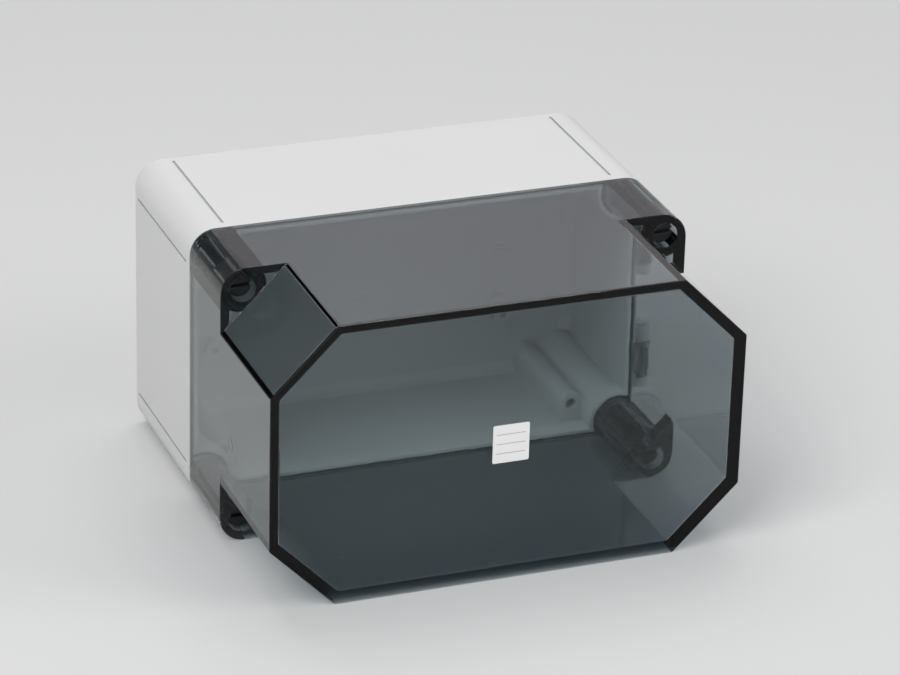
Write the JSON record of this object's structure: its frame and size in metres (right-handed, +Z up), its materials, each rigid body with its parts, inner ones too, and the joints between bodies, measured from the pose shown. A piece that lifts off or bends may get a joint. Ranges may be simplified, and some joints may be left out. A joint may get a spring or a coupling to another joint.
{
  "type": "hinged clear-cover enclosure",
  "caption": "Wall-mounted circuit enclosure with an opaque moulded base and a deep smoked clear cover on a side hinge, held shut by captive quarter-turn corner screws.",
  "frame": {"origin": "centre of the flat rear face that lies on the wall", "axes": "+Z up, +X along the width with the hinge side at +X, +Y out of the rear face towards the wall; the clear cover faces -Y"},
  "size_m": [0.1905, 0.1652, 0.11],
  "materials": {
    "base_plastic": "light grey moulded plastic with a fine even grain",
    "smoked_clear": "smooth smoke-grey transparent plastic",
    "seal_foam": "closed-cell foam",
    "insert_brass": "turned",
    "bracket_plastic": "light grey moulded plastic",
    "pin_steel": "stainless",
    "label_film": "blank matt film",
    "screw_plastic": "dark moulded plastic",
    "ring_rubber": "smooth"
  },
  "bodies": {
    "base": {"base_shell": "base_plastic", "base_seal": "seal_foam", "screw_insert_upper_left": "insert_brass", "screw_insert_upper_right": "insert_brass", "screw_insert_lower_left": "insert_brass", "screw_insert_lower_right": "insert_brass", "hinge_bracket_upper": "bracket_plastic", "hinge_bracket_lower": "bracket_plastic", "hinge_pin_upper": "pin_steel", "hinge_pin_lower": "pin_steel", "hinge_bracket_screws": "pin_steel"},
    "cover": {"cover_shell": "smoked_clear", "blank_label": "label_film"},
    "fastener_upper_left": {"cover_screw_upper_left": "screw_plastic", "screw_ring_upper_left": "ring_rubber"},
    "fastener_upper_right": {"cover_screw_upper_right": "screw_plastic", "screw_ring_upper_right": "ring_rubber"},
    "fastener_lower_left": {"cover_screw_lower_left": "screw_plastic", "screw_ring_lower_left": "ring_rubber"},
    "fastener_lower_right": {"cover_screw_lower_right": "screw_plastic", "screw_ring_lower_right": "ring_rubber"}
  },
  "joints": [
    {"name": "cover_hinge", "type": "hinge", "parent": "base", "child": "cover", "pos_m": [0.0955, -0.064, 0], "axis": [0, 0, 1], "range_deg": [0, 120]},
    {"name": "turn_upper_left", "type": "hinge", "parent": "cover", "child": "fastener_upper_left", "pos_m": [-0.0825, -0.0975, 0.0465], "axis": [0, -1, 0], "range_deg": [0, 90]},
    {"name": "turn_upper_right", "type": "hinge", "parent": "cover", "child": "fastener_upper_right", "pos_m": [0.0825, -0.0975, 0.0465], "axis": [0, -1, 0], "range_deg": [0, 90]},
    {"name": "turn_lower_left", "type": "hinge", "parent": "cover", "child": "fastener_lower_left", "pos_m": [-0.0825, -0.0975, -0.0465], "axis": [0, -1, 0], "range_deg": [0, 90]},
    {"name": "turn_lower_right", "type": "hinge", "parent": "cover", "child": "fastener_lower_right", "pos_m": [0.0825, -0.0975, -0.0465], "axis": [0, -1, 0], "range_deg": [0, 90]}
  ]
}
